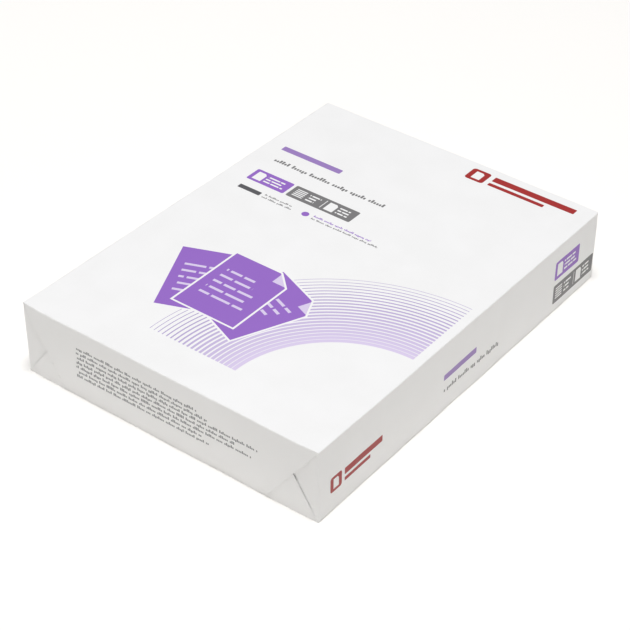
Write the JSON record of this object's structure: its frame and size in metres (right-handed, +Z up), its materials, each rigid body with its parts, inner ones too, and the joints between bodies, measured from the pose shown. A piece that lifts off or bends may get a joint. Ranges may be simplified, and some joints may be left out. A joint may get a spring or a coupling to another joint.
{
  "type": "ream of paper",
  "caption": "Sealed ream of A4 copier paper in a printed paper wrapper, its ends folded and glued down like a parcel.",
  "frame": {"origin": "middle of the underside, where the pack lies on a shelf or table", "axes": "+X across the sheets' short side, +Y along their long side, +Z up through the stack's thickness"},
  "size_m": [0.2102, 0.299, 0.0492],
  "materials": {
    "wrapper_paper": "satin"
  },
  "bodies": {
    "root": {"wrapped_ream": "wrapper_paper"}
  },
  "joints": []
}
